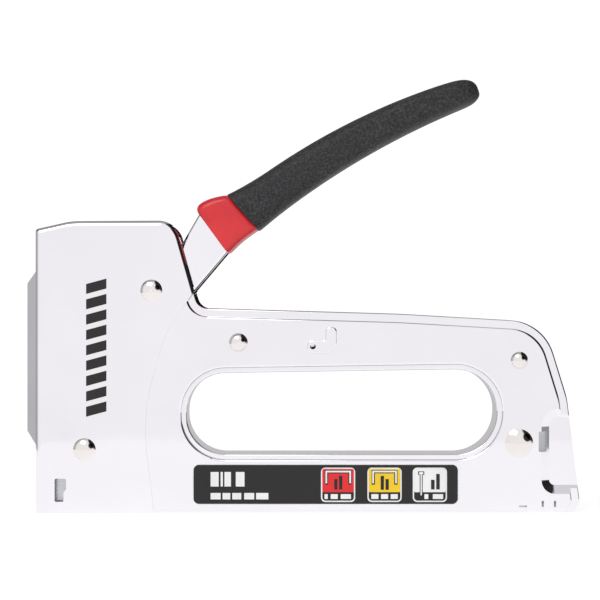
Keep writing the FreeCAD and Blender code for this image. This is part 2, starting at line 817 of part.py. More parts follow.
# ---------------------------------------------------------------- drive
def coil(name, radius, wire, pitch, height, place, axis=None):
    """A wire coil: a circle carried along a helix about the body's own Z axis."""
    body = new_body(name)
    ring = Part.Circle(Vector(size(radius), 0, 0), Vector(0, 0, 1), size(wire))
    sketch = new_sketch(body, f"{name}_wire", "XZ_Plane", [ring])
    helix = body.newObject("PartDesign::AdditiveHelix", f"{name}_helix")
    helix.Profile = sketch
    helix.ReferenceAxis = (sketch, ["V_Axis"])
    helix.Mode = "pitch-height-angle"
    helix.setExpression("Pitch", f"Dims.{pitch}")
    helix.setExpression("Height", height)
    turn = FreeCAD.Rotation(Vector(0, 0, 1), axis) if axis else FreeCAD.Rotation()
    body.Placement = FreeCAD.Placement(place, turn)
    document.recompute()


def power_drive():
    """The power spring with its post and seat, and the pieces that it throws down."""
    x = size("spring_x")
    wire = size("spring_wire")
    coil("power_spring", "spring_coil", "spring_wire", "spring_pitch",
         "Dims.spring_high - Dims.spring_low - 2 * Dims.spring_wire",
         Vector(x, 0, size("spring_low") + wire))
    post = upright_rod("spring_post", "Dims.post_radius", "Dims.spring_high - Dims.post_low")
    post.Placement = FreeCAD.Placement(Vector(x, 0, size("post_low")), FreeCAD.Rotation())
    body = new_body("spring_seat")
    high = size("spring_high")
    seat = rectangle(size("seat_front"), high, size("seat_rear"), high + size("seat_thick"), SOFT)
    extrude(body, "Pad", side_sketch(body, "seat_side", seat), "2 * Dims.seat_half")
    plunger()
    driver_blade()
    rubber = new_body("plunger_buffer")
    block = rectangle(size("buffer_front"), size("buffer_low"), size("buffer_rear"),
                      size("buffer_high"), size("buffer_round"))
    extrude(rubber, "Pad", side_sketch(rubber, "buffer_side", block), "2 * Dims.buffer_half")


def upright_rod(name, radius, height):
    """A plain rod bound to the sheet."""
    rod = document.addObject("Part::Cylinder", name)
    rod.Label = name
    rod.setExpression("Radius", radius)
    rod.setExpression("Height", height)
    pieces[name] = rod
    return rod


def pin_sketch(body, name, offset=None):
    """Holes for the two pins that hold the blade on the plunger, seen from the front."""
    high = size("spring_low") - size("blade_pin_offset")
    rings = []
    for sign in (LEFT, RIGHT):
        centre = Vector(sign * size("blade_pin_offset"), high, 0)
        rings.append(Part.Circle(centre, Vector(0, 0, 1), size("blade_pin_radius")))
    return new_sketch(body, name, "YZ_Plane", rings, offset)


def plunger():
    """The hammer block, with a hook behind it and a window for the lift pin."""
    body = new_body("plunger")
    base = rectangle(size("plunger_front"), size("plunger_low"), size("plunger_rear"),
                     size("spring_low"), SOFT)
    hook = rectangle(size("hook_front"), size("plunger_low") + SOFT, size("plunger_rear"),
                     size("hook_top"), SOFT)
    extrude(body, "Pad", side_sketch(body, "plunger_base", base), "2 * Dims.plunger_half")
    extrude(body, "Pad", side_sketch(body, "plunger_hook", hook), "2 * Dims.plunger_half")
    pin_x, pin_z = lift_pin_place()
    reach = size("lift_pin_radius") + size("window_play")
    forward = size("pivot_x") - size("lift_arm")
    window = rectangle(forward - reach, pin_z - reach, pin_x + reach, pin_z + reach,
                       size("window_round"))
    cut_through(body, "plunger_window", window)
    holes = pin_sketch(body, "plunger_pin_holes", "Dims.plunger_front")
    pocket = extrude(body, "Pocket", holes, "2 * Dims.blade_pin_offset", 1)
    pocket.Reversed = True
    document.recompute()


def driver_blade():
    """The flat blade and the two flush pins that hold it on the plunger."""
    body = new_body("driver_blade")
    front = size("blade_front")
    blade = rectangle(front, size("blade_low"), front + size("blade_thick"), size("spring_low"))
    extrude(body, "Pad", side_sketch(body, "blade_side", blade), "2 * Dims.blade_half")
    extrude(body, "Pocket", pin_sketch(body, "blade_pin_holes"), "2 * Dims.beyond")
    pins = []
    for side, word in ((LEFT, "left"), (RIGHT, "right")):
        shank = document.addObject("Part::Cylinder", f"{word}_pin_shank")
        shank.setExpression("Radius", "Dims.blade_pin_radius - Dims.running_gap")
        shank.setExpression("Height", "2 * Dims.blade_pin_offset")
        head = document.addObject("Part::Cone", f"{word}_pin_head")
        head.setExpression("Radius1", "Dims.blade_pin_radius")
        head.setExpression("Radius2", "Dims.blade_pin_flare")
        head.setExpression("Height", "Dims.sheet")
        y = side * size("blade_pin_offset")
        z = size("spring_low") - size("blade_pin_offset")
        along = FreeCAD.Rotation(Vector(0, 0, 1), Vector(1, 0, 0))
        back = FreeCAD.Rotation(Vector(0, 0, 1), Vector(-1, 0, 0))
        shank.Placement = FreeCAD.Placement(Vector(front, y, z), along)
        head.Placement = FreeCAD.Placement(Vector(front, y, z), back)
        pin = document.addObject("Part::MultiFuse", f"{word}_blade_pin")
        pin.Shapes = [shank, head]
        pins.append(pin)
    group = document.addObject("Part::Compound", "blade_pins")
    group.Label = "blade_pins"
    group.Links = pins
    pieces["blade_pins"] = group
    document.recompute()


def nose_core():
    """The folded bracket that the nose rivet holds between the two sides."""
    body = new_body("nose_core")
    front = size("core_front")
    rear = size("core_rear")
    high = size("core_high")
    block = rectangle(front, size("core_low"), rear, high, SOFT)
    extrude(body, "Pad", side_sketch(body, "core_side", block), "2 * Dims.core_half")
    hollow = rectangle(front + size("sheet"), 0.0, rear + size("past"), high - size("sheet"))
    extrude(body, "Pocket", side_sketch(body, "core_hollow", hollow),
            "2 * (Dims.core_half - Dims.sheet)")
    hole = circle_sketch(body, "core_hole", [("nose_rivet_x", "nose_rivet_z",
                                              "Dims.large_shank + Dims.fit_gap")])
    extrude(body, "Pocket", hole, "4 * Dims.core_half")


# ---------------------------------------------------------------- magazine
def magazine():
    """The outer channel and the inner rail that the staples ride on."""
    front = size("magazine_front")
    rear = size("magazine_rear")
    low = size("magazine_low")
    wall = size("magazine_sheet")
    past = size("past")
    channels = [
        ("magazine_channel", "channel_half", size("channel_top")),
        ("staple_rail", "rail_half", size("rail_top")),
    ]
    for name, half, high in channels:
        body = new_body(name)
        extrude(body, "Pad", side_sketch(body, f"{name}_side", rectangle(front, low, rear, high)),
                f"2 * Dims.{half}")
        hollow = rectangle(front - past, low - past, rear + past, high - wall)
        extrude(body, "Pocket", side_sketch(body, f"{name}_hollow", hollow),
                f"2 * (Dims.{half} - Dims.magazine_sheet)")
        if name == "staple_rail":
            slot = rectangle(size("slot_front"), high - 2 * wall, rear + past, high + wall)
            extrude(body, "Pocket", side_sketch(body, "rail_slot", slot), "2 * Dims.slot_half")
    pusher()
    loader()


def axis_sketch(body, name, radius):
    """A circle on the loader rod's axis, seen along the magazine."""
    ring = Part.Circle(Vector(0, size("rod_z"), 0), Vector(0, 0, 1), radius)
    return new_sketch(body, name, "YZ_Plane", [ring])


def pusher():
    """The saddle that rides the rail, with a tongue inside it round the rod and spring."""
    body = new_body("pusher")
    front = size("pusher_front")
    rear = front + size("pusher_length")
    saddle = rectangle(front, size("saddle_low"), rear, size("saddle_top"))
    past = size("past")
    under = rectangle(front - past, -past, rear + past, size("saddle_under"))
    tongue_front = size("slot_front") + 4 * size("fit_gap")
    neck = rectangle(tongue_front, size("tongue_low"), rear,
                     (size("saddle_under") + size("saddle_top")) / 2)
    tongue = rectangle(tongue_front, size("tongue_low"), rear, size("tongue_high"))
    extrude(body, "Pad", side_sketch(body, "pusher_saddle", saddle), "2 * Dims.saddle_half")
    extrude(body, "Pocket", side_sketch(body, "pusher_under", under), "2 * Dims.saddle_inner")
    extrude(body, "Pad", side_sketch(body, "pusher_stem", neck), "2 * Dims.pusher_neck")
    extrude(body, "Pad", side_sketch(body, "pusher_tongue", tongue), "2 * Dims.tongue_half")
    extrude(body, "Pocket", axis_sketch(body, "pusher_bore", size("tongue_bore")),
            "2 * Dims.beyond")


def loader():
    """The part that pulls out to load: the rod, its spring and the latch at the tail."""
    latch_front = size("latch_front")
    latch_rear = size("latch_rear")
    wall = size("latch_sheet")
    rod = upright_rod("pusher_rod", "Dims.rod_radius",
                      "Dims.latch_front + Dims.latch_sheet - Dims.rod_front")
    along = FreeCAD.Rotation(Vector(0, 0, 1), Vector(1, 0, 0))
    rod.Placement = FreeCAD.Placement(Vector(size("rod_front"), 0, size("rod_z")), along)
    coil("pusher_spring", "coil_radius", "coil_wire", "coil_pitch",
         "Dims.latch_front - Dims.slot_front - Dims.sheet - 2 * Dims.coil_wire",
         Vector(size("slot_front") + size("sheet"), 0, size("rod_z")), Vector(1, 0, 0))
    body = new_body("tail_latch")
    high = size("latch_high")
    block = rectangle(latch_front, size("magazine_low"), latch_rear, high, SOFT)
    extrude(body, "Pad", side_sketch(body, "latch_side", block), "2 * Dims.latch_half")
    past = size("past")
    inside = rectangle(latch_front + wall, -past, latch_rear - wall, high + past)
    step = rectangle(latch_front - past, size("latch_step"), latch_rear - 2 * wall, high + past)
    extrude(body, "Pocket", side_sketch(body, "latch_inside", inside),
            "2 * (Dims.latch_half - Dims.latch_sheet)")
    extrude(body, "Pocket", side_sketch(body, "latch_open_top", step),
            "2 * (Dims.latch_half - Dims.latch_sheet)")
    hole = extrude(body, "Pocket", axis_sketch(body, "latch_rod_hole", size("rod_radius")),
                   "Dims.latch_front + 2 * Dims.latch_sheet", 1)
    hole.Reversed = True
    document.recompute()


def check_and_write():
    """Stop on any broken feature or shape, then write one file for each piece."""
    document.recompute()
    for item in document.Objects:
        if "Invalid" in item.State or "Error" in item.State:
            raise RuntimeError(f"{item.Name} failed: {item.State}")
    os.makedirs("parts", exist_ok=True)
    for name, piece in pieces.items():
        shape = piece.Shape
        if shape.isNull() or not shape.isValid() or not shape.Solids:
            raise RuntimeError(f"{name} has no sound shape")
        shape.exportStep(f"parts/{name}.step")
        box = shape.BoundBox
        print(f"{name:20s} solids {len(shape.Solids)} volume {shape.Volume:9.1f}"
              f"  x {box.XMin:6.1f} {box.XMax:6.1f}  y {box.YMin:6.1f} {box.YMax:6.1f}"
              f"  z {box.ZMin:6.1f} {box.ZMax:6.1f}")


fill_sheet()
nose_cover()
frame_half("left_frame_shell", LEFT)
frame_half("right_frame_shell", RIGHT)
label_plate()
rivets_and_spacers()
lever()
covering("grip_sleeve", "sleeve_half")
covering("grip_collar", "collar_half")
power_drive()
coil("handle_spring", "return_coil", "return_wire", "return_pitch",
     "2 * Dims.return_half", Vector(size("pivot_x"), -size("return_half"), size("pivot_z")),
     Vector(0, 1, 0))
nose_core()
magazine()
check_and_write()
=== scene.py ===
"""Studio view of a hand staple gun: chromed shells, a stippled grip, a red collar and printed marks."""
import json
import math

import bmesh
import bpy
from mathutils import Matrix, Vector


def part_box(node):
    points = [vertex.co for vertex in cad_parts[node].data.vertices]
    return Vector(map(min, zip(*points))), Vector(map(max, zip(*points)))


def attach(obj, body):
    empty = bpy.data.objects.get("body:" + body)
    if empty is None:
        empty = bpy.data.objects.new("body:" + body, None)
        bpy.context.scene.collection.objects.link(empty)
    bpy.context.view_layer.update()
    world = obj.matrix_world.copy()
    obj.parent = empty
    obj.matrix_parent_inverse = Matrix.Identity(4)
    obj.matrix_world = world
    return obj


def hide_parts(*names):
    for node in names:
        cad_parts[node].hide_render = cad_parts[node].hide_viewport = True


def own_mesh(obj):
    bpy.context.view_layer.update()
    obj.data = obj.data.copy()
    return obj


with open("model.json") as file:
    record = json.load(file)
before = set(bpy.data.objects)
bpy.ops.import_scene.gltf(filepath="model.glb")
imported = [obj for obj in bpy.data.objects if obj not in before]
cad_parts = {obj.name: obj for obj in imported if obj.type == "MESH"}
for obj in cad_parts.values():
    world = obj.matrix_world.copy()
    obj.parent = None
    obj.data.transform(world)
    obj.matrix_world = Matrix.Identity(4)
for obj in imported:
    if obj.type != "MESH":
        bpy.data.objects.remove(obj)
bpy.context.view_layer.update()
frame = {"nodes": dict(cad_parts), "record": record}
nodes = frame["nodes"]

MM = 0.001


# ---------------------------------------------------------------- node helpers
class Finish:
    """A Principled material with short calls for the nodes that these finishes share."""

    def __init__(self, name, colour, metallic=0.0, roughness=0.5):
        self.material = bpy.data.materials.new(name)
        self.material.use_nodes = True
        self.tree = self.material.node_tree
        self.shader = self.tree.nodes["Principled BSDF"]
        self.shader.inputs["Base Color"].default_value = (*colour, 1.0)
        self.shader.inputs["Metallic"].default_value = metallic
        self.shader.inputs["Roughness"].default_value = roughness
        self.place = self.tree.nodes.new("ShaderNodeTexCoord").outputs["Object"]

    def add(self, kind, **settings):
        node = self.tree.nodes.new(kind)
        for name, value in settings.items():
            setattr(node, name, value)
        return node

    def link(self, start, end):
        self.tree.links.new(start, end)

    def stretched(self, scale):
        mapping = self.add("ShaderNodeMapping")
        mapping.inputs["Scale"].default_value = scale
        self.link(self.place, mapping.inputs["Vector"])
        return mapping.outputs["Vector"]

    def noise(self, scale, detail=3.0, place=None):
        noise = self.add("ShaderNodeTexNoise")
        noise.inputs["Scale"].default_value = scale
        noise.inputs["Detail"].default_value = detail
        self.link(place or self.place, noise.inputs["Vector"])
        return noise.outputs["Fac"]

    def ramp(self, source, stops):
        ramp = self.add("ShaderNodeValToRGB")
        while len(ramp.color_ramp.elements) < len(stops):
            ramp.color_ramp.elements.new(0.5)
        for element, (position, colour) in zip(ramp.color_ramp.elements, stops):
            element.position = position
            element.color = (*colour, 1.0)
        self.link(source, ramp.inputs["Fac"])
        return ramp.outputs["Color"]

    def span(self, source, low, high, to_low, to_high):
        span = self.add("ShaderNodeMapRange")
        span.inputs["From Min"].default_value = low
        span.inputs["From Max"].default_value = high
        span.inputs["To Min"].default_value = to_low
        span.inputs["To Max"].default_value = to_high
        self.link(source, span.inputs["Value"])
        return span.outputs["Result"]

    def bump(self, height, strength, distance):
        bump = self.add("ShaderNodeBump")
        bump.inputs["Strength"].default_value = strength
        bump.inputs["Distance"].default_value = distance
        self.link(height, bump.inputs["Height"])
        return bump.outputs["Normal"]

    def set(self, name, source):
        self.link(source, self.shader.inputs[name])


def plated(name, colour, roughness, wave):
    """Bright plating over pressed sheet: faint waviness, wiped haze and hairline scratches."""
    finish = Finish(name, colour, metallic=1.0, roughness=roughness)
    haze = finish.noise(45.0, 4.0)
    hair = finish.noise(900.0, 2.0, finish.stretched((0.06, 1.0, 1.6)))
    scratches = finish.span(hair, 0.66, 0.72, 0.0, 0.05)
    wiped = finish.span(haze, 0.35, 0.7, roughness * 0.75, roughness * 1.35)
    total = finish.add("ShaderNodeMath", operation="ADD")
    finish.link(wiped, total.inputs[0])
    finish.link(scratches, total.inputs[1])
    finish.set("Roughness", total.outputs["Value"])
    shade = tuple(channel * 0.96 for channel in colour)
    finish.set("Base Color", finish.ramp(haze, [(0.3, shade), (0.7, colour)]))
    waves = finish.noise(60.0, 1.5)
    finish.set("Normal", finish.bump(waves, wave, 0.0004))
    return finish.material


CHROME = plated("bright_chrome_finish", (0.875, 0.858, 0.900), 0.05, 0.10)
LEVER_CHROME = plated("lever_chrome_finish", (0.89, 0.875, 0.915), 0.06, 0.14)
NICKEL = plated("rivet_nickel_finish", (0.84, 0.80, 0.78), 0.04, 0.05)


def steel(name, colour, roughness):
    """Drawn or rolled steel: fine grain along X and a thin cloudy film of oil."""
    finish = Finish(name, colour, metallic=1.0, roughness=roughness)
    grain = finish.noise(1500.0, 3.0, finish.stretched((0.08, 1.0, 1.0)))
    film = finish.noise(90.0, 4.0)
    dark = tuple(channel * 0.72 for channel in colour)
    finish.set("Base Color", finish.ramp(film, [(0.3, dark), (0.65, colour)]))
    finish.set("Roughness", finish.span(grain, 0.3, 0.7, roughness * 0.75, roughness * 1.3))
    finish.set("Normal", finish.bump(grain, 0.25, 0.00005))
    return finish.material


DARK_STEEL = steel("dark_steel_finish", (0.30, 0.30, 0.32), 0.35)
ZINC = steel("zinc_steel_finish", (0.62, 0.63, 0.66), 0.28)
SPRING = steel("spring_wire_finish", (0.46, 0.46, 0.48), 0.25)


def grip_vinyl():
    """Soft black vinyl with a close moulded stipple, its colour painted lighter on the stipple's high
    points (painted highlight) and darker in its pits (painted shade).
    """
    finish = Finish("black_grip_finish", (0.03, 0.03, 0.03), roughness=0.6)
    finish.shader.inputs["Specular IOR Level"].default_value = 0.30
    finish.shader.inputs["Sheen Weight"].default_value = 0.06
    finish.shader.inputs["Sheen Roughness"].default_value = 0.45
    grain = finish.noise(1500.0, 2.0)
    patch = finish.noise(70.0, 3.0)
    # Base colour follows the stipple's height: painted highlight on its high points, painted shade in
    # its pits.
    finish.set("Base Color", finish.ramp(grain, [(0.32, (0.012, 0.012, 0.013)),
                                                 (0.50, (0.024, 0.024, 0.026)),
                                                 (0.70, (0.052, 0.052, 0.055))]))
    finish.set("Roughness", finish.span(patch, 0.3, 0.7, 0.52, 0.66))
    finish.set("Normal", finish.bump(grain, 0.8, 0.00022))
    return finish.material


def red_vinyl():
    """Smooth red vinyl with a faint mould skin."""
    finish = Finish("red_collar_finish", (0.66, 0.020, 0.028), roughness=0.30)
    cloud = finish.noise(160.0, 4.0)
    skin = finish.noise(1400.0, 2.0)
    finish.set("Base Color", finish.ramp(cloud, [(0.3, (0.60, 0.016, 0.024)),
                                                 (0.7, (0.70, 0.024, 0.032))]))
    finish.set("Roughness", finish.span(cloud, 0.3, 0.7, 0.26, 0.36))
    finish.set("Normal", finish.bump(skin, 0.18, 0.00008))
    return finish.material


GRIP = grip_vinyl()
RED = red_vinyl()


def printed(name, colour, roughness=0.35):
    """Screen ink: nearly even, with a little orange peel."""
    finish = Finish(name, colour, roughness=roughness)
    finish.shader.inputs["Specular IOR Level"].default_value = 0.35
    peel = finish.noise(2200.0, 2.0)
    cloud = finish.noise(120.0, 3.0)
    low = tuple(channel * 0.9 for channel in colour)
    finish.set("Base Color", finish.ramp(cloud, [(0.3, low), (0.7, colour)]))
    finish.set("Roughness", finish.span(peel, 0.3, 0.7, roughness * 0.9, roughness * 1.15))
    finish.set("Normal", finish.bump(peel, 0.1, 0.00003))
    return finish.material


INK = printed("dark_ink", (0.016, 0.015, 0.016), 0.45)
FILM = printed("label_film_finish", (0.0145, 0.0125, 0.0130))
# Near-white paint for the ring round the label: a painted highlight of the film's lit edge.
PAINTED_EDGE_HIGHLIGHT = printed("label_edge_painted_highlight_finish", (0.86, 0.86, 0.87), 0.25)
WHITE_INK = printed("white_ink", (0.86, 0.86, 0.86))
RED_INK = printed("red_ink", (0.76, 0.022, 0.028))
YELLOW_INK = printed("yellow_ink", (0.90, 0.60, 0.02))


def moulded_rubber():
    """Dull black rubber with a coarse moulded grain."""
    finish = Finish("rubber_finish", (0.03, 0.03, 0.03), roughness=0.75)
    grain = finish.noise(600.0, 3.0)
    finish.set("Base Color", finish.ramp(grain, [(0.3, (0.02, 0.02, 0.02)),
                                                 (0.7, (0.045, 0.045, 0.045))]))
    finish.set("Normal", finish.bump(grain, 0.3, 0.0001))
    return finish.material


RUBBER = moulded_rubber()

SLOT_FINISH = {
    "bright_chrome": CHROME,
    "rivet_nickel": NICKEL,
    "lever_chrome": LEVER_CHROME,
    "dark_steel": DARK_STEEL,
    "zinc_steel": ZINC,
    "spring_steel": SPRING,
    "black_rubber": RUBBER,
    "black_grip": GRIP,
    "red_collar": RED,
    "label_film": FILM,
}


def dress_cad_nodes():
    """Give every carried-over piece the finish of its slot."""
    for entry in frame["record"]["subparts"]:
        piece = nodes[entry["node"]]
        finish = SLOT_FINISH[entry["material_slot"]]
        if not piece.material_slots:
            piece.data.materials.append(finish)
        for material_slot in piece.material_slots:
            material_slot.material = finish


dress_cad_nodes()


# ---------------------------------------------------------------- studio
FLOOR_RADIUS = 0.34
FLOOR_GLOW = 0.87


def backdrop():
    """A pale floor, bright enough to vanish into the white behind it."""
    mesh = bmesh.new()
    bmesh.ops.create_circle(mesh, cap_ends=True, segments=96, radius=FLOOR_RADIUS)
    floor = bpy.data.meshes.new("studio_floor")
    mesh.to_mesh(floor)
    mesh.free()
    piece = bpy.data.objects.new("studio_floor", floor)
    bpy.context.scene.collection.objects.link(piece)
    finish = Finish("studio_floor_paint", (0.30, 0.30, 0.30), roughness=0.9)
    finish.shader.inputs["Emission Color"].default_value = (1.0, 1.0, 1.0, 1.0)
    finish.shader.inputs["Emission Strength"].default_value = FLOOR_GLOW
    finish.shader.inputs["Specular IOR Level"].default_value = 0.0
    floor.materials.append(finish.material)


# How bright the surround is from the front (0) round to the back (1).
BAND = [(0.0, 1.0), (0.30, 0.97), (0.43, 0.52), (0.50, 0.10), (0.82, 0.10), (0.93, 0.50), (1.0, 0.55)]
# Greys at the two ends and overhead: axis, where each starts, where it is full, and its level.
FILLS = [("X", -0.70, -0.95, 0.52), ("X", 0.90, 0.99, 0.32), ("Z", 0.60, 0.95, 0.42)]
# Dark flags high on the right: the way to each one's middle, and its spread in degrees.
FLAGS = [((0.70, -0.62, 0.40), 21.0), ((0.80, -0.05, 0.60), 41.0)]
FLAG_LEVEL = 0.04
FLAG_CORE = 0.8
BACKGROUND_LEVEL = 1.05


def world_span(tree, source, low, high, to_low, to_high):
    """A value carried from one range to another."""
    span = tree.nodes.new("ShaderNodeMapRange")
    span.inputs["From Min"].default_value = low
    span.inputs["From Max"].default_value = high
    span.inputs["To Min"].default_value = to_low
    span.inputs["To Max"].default_value = to_high
    tree.links.new(source, span.inputs["Value"])
    return span.outputs["Result"]


def world_mix(tree, mode, below, above):
    """Two layers of the surround put together."""
    mix = tree.nodes.new("ShaderNodeMix")
    mix.data_type = "RGBA"
    mix.blend_type = mode
    mix.inputs["Factor"].default_value = 1.0
    tree.links.new(below, mix.inputs["A"])
    tree.links.new(above, mix.inputs["B"])
    return mix.outputs["Result"]


def reflected_light(tree):
    """The surround that the plating mirrors: a band from front to back, grey fills, dark flags."""
    place = tree.nodes.new("ShaderNodeTexCoord").outputs["Generated"]
    axes = tree.nodes.new("ShaderNodeSeparateXYZ")
    tree.links.new(place, axes.inputs["Vector"])
    ramp = tree.nodes.new("ShaderNodeValToRGB")
    while len(ramp.color_ramp.elements) < len(BAND):
        ramp.color_ramp.elements.new(0.5)
    for element, (position, level) in zip(ramp.color_ramp.elements, BAND):
        element.position = position
        element.color = (level, level, level, 1.0)
    tree.links.new(world_span(tree, axes.outputs["Y"], -1.0, 1.0, 0.0, 1.0), ramp.inputs["Fac"])
    light = ramp.outputs["Color"]
    for axis, start, full, level in FILLS:
        fill = world_span(tree, axes.outputs[axis], start, full, 0.0, level)
        light = world_mix(tree, "LIGHTEN", light, fill)
    for side, spread in FLAGS:
        toward = tree.nodes.new("ShaderNodeVectorMath")
        toward.operation = "DOT_PRODUCT"
        tree.links.new(place, toward.inputs[0])
        toward.inputs[1].default_value = Vector(side).normalized()
        edge = math.cos(math.radians(spread))
        core = math.cos(math.radians(spread * FLAG_CORE))
        flag = world_span(tree, toward.outputs["Value"], edge, core, 1.0, FLAG_LEVEL)
        light = world_mix(tree, "MULTIPLY", light, flag)
    return light


def surroundings():
    """Plain white behind the object, and the shaded surround in its reflections."""
    world = bpy.data.worlds.new("studio_world")
    bpy.context.scene.world = world
    world.use_nodes = True
    tree = world.node_tree
    sky = tree.nodes["Background"]
    tree.links.new(reflected_light(tree), sky.inputs["Color"])
    sky.inputs["Strength"].default_value = 1.0
    white = tree.nodes.new("ShaderNodeBackground")
    white.inputs["Color"].default_value = (1.0, 1.0, 1.0, 1.0)
    white.inputs["Strength"].default_value = BACKGROUND_LEVEL
    path = tree.nodes.new("ShaderNodeLightPath")
    mix = tree.nodes.new("ShaderNodeMixShader")
    tree.links.new(path.outputs["Is Camera Ray"], mix.inputs["Fac"])
    tree.links.new(sky.outputs["Background"], mix.inputs[1])
    tree.links.new(white.outputs["Background"], mix.inputs[2])
    tree.links.new(mix.outputs["Shader"], tree.nodes["World Output"].inputs["Surface"])


def soft_light(name, place, aim, width, height, power):
    """A flat softbox turned towards a point."""
    data = bpy.data.lights.new(name, "AREA")
    data.shape = "RECTANGLE"
    data.size = width
    data.size_y = height
    data.energy = power
    lamp = bpy.data.objects.new(name, data)
    bpy.context.scene.collection.objects.link(lamp)
    lamp.location = place
    lamp.rotation_euler = (Vector(aim) - Vector(place)).to_track_quat("-Z", "Y").to_euler()


def studio():
    """Floor, surround and the one softbox above the front."""
    backdrop()
    surroundings()
    soft_light("top_box", (-0.35, -0.7, 1.0), (0, 0, 0.06), 0.7, 0.5, 4.0)


def camera():
    """A long lens square on to the side, at the height where the lever leaves the body."""
    near_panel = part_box("left_frame_shell")[0][1]
    distance = 0.62
    view_width = 0.18576
    data = bpy.data.cameras.new("side_camera")
    data.sensor_width = 36.0
    data.lens = data.sensor_width * distance / view_width
    eye = bpy.data.objects.new("side_camera", data)
    bpy.context.scene.collection.objects.link(eye)
    eye.location = (-0.0010, near_panel - distance, 0.0661)
    eye.rotation_euler = (math.pi / 2, 0.0, 0.0)
    bpy.context.scene.camera = eye


studio()
camera()


# ---------------------------------------------------------------- new pieces
def finished(mesh, name, finish, body, levels=0, smooth_angle=None):
    """Make a mesh an object that rides on a body, with its finish and, if asked, subdivision."""
    bmesh.ops.recalc_face_normals(mesh, faces=mesh.faces)
    data = bpy.data.meshes.new(name)
    mesh.to_mesh(data)
    mesh.free()
    data.shade_smooth()
    if smooth_angle is not None:
        data.set_sharp_from_angle(angle=smooth_angle)
    data.materials.append(finish)
    piece = bpy.data.objects.new(name, data)
    bpy.context.scene.collection.objects.link(piece)
    if levels:
        smoother = piece.modifiers.new("subdivision", "SUBSURF")
        smoother.levels = levels
        smoother.render_levels = levels
    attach(piece, body)
    return piece


def station(top, bottom, width):
    """The place of one cross-section, from its top and bottom edge points and its width in mm."""
    top_point = Vector((top[0], 0.0, top[1])) * MM
    bottom_point = Vector((bottom[0], 0.0, bottom[1])) * MM
    across = top_point - bottom_point
    side = Vector((0.0, -1.0, 0.0))
    onward = across.normalized().cross(side)
    turn = Matrix((across.normalized(), side, onward)).transposed().to_4x4()
    scale = Matrix.Diagonal((across.length, width * MM, 1.0, 1.0))
    return Matrix.Translation((top_point + bottom_point) / 2) @ turn @ scale


def sleeve(stations, corner):
    """A closed soft sleeve drawn through its stations from a rounded square."""
    mesh = bmesh.new()
    bmesh.ops.create_grid(mesh, x_segments=1, y_segments=1, size=0.5)
    bmesh.ops.bevel(mesh, geom=mesh.verts[:], affect="VERTICES", offset=corner, segments=5,
                    profile=0.5, material=-1)
    places = [station(*each) for each in stations]
    bmesh.ops.transform(mesh, matrix=places[0], verts=mesh.verts)
    ring = mesh.edges[:]
    for before, after in zip(places, places[1:]):
        grown = bmesh.ops.extrude_edge_only(mesh, edges=ring)["geom"]
        verts = [part for part in grown if isinstance(part, bmesh.types.BMVert)]
        ring = [part for part in grown if isinstance(part, bmesh.types.BMEdge)]
        bmesh.ops.transform(mesh, matrix=after @ before.inverted(), verts=verts)
    bmesh.ops.holes_fill(mesh, edges=ring)
    return mesh


def on_arc(centre, radius, heading):
    """A point on an arc that bends clockwise, where it runs at the given heading in degrees."""
    angle = math.radians(heading)
    return (centre[0] - radius * math.sin(angle), centre[1] + radius * math.cos(angle))


def grip():
    """The black sleeve: a long bow over the lever, with a rolled lip and a blunt rounded end."""
    bow = []
    steps = 7
    for step in range(steps + 1):
        share = step / steps
        top = on_arc((108.7, -66.0), 210.0, 36.0 - 17.2 * share)
        bottom = on_arc((145.3, -104.9), 250.0, 37.6 - 14.2 * share)
        bow.append((top, bottom, 19.0 - 1.0 * share))
    lip = [((-23.7, 98.5), (-14.4, 88.2), 17.2),
           ((-23.9, 99.0), (-14.2, 87.8), 18.8),
           ((-23.4, 99.3), (-13.5, 87.9), 19.1),
           ((-22.0, 99.9), (-12.2, 89.0), 19.2)]
    end = [((47.2, 134.7), (50.8, 126.5), 17.4),
           ((50.4, 135.2), (53.6, 127.8), 15.8),
           ((52.9, 134.8), (55.0, 129.2), 12.4),
           ((54.5, 133.5), (55.5, 130.8), 7.0)]
    piece = finished(sleeve(lip + bow + end, 0.30), "grip_skin", GRIP, "handle", levels=2)
    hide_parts("grip_sleeve")


def collar():
    """The red end of the sleeve, wider at the lever and rounded where it starts."""
    stations = [((-32.3, 92.6), (-24.6, 82.0), 14.4),
                ((-33.2, 93.7), (-23.9, 81.0), 17.2),
                ((-33.1, 95.2), (-23.1, 80.5), 18.2),
                ((-32.1, 96.3), (-21.9, 81.8), 18.4),
                ((-29.8, 97.5), (-19.2, 84.4), 18.4),
                ((-27.0, 98.3), (-16.8, 86.2), 18.4),
                ((-24.4, 98.8), (-14.6, 87.7), 18.0),
                ((-23.0, 98.8), (-13.4, 88.6), 15.6)]
    piece = finished(sleeve(stations, 0.17), "collar_skin", RED, "handle", levels=2)
    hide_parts("grip_collar")


# ---------------------------------------------------------------- prints
PRINT = 0.05
CREASE = math.radians(30)
LABEL_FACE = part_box("label_plate")[0][1]
COVER_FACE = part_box("nose_cover")[0][1]


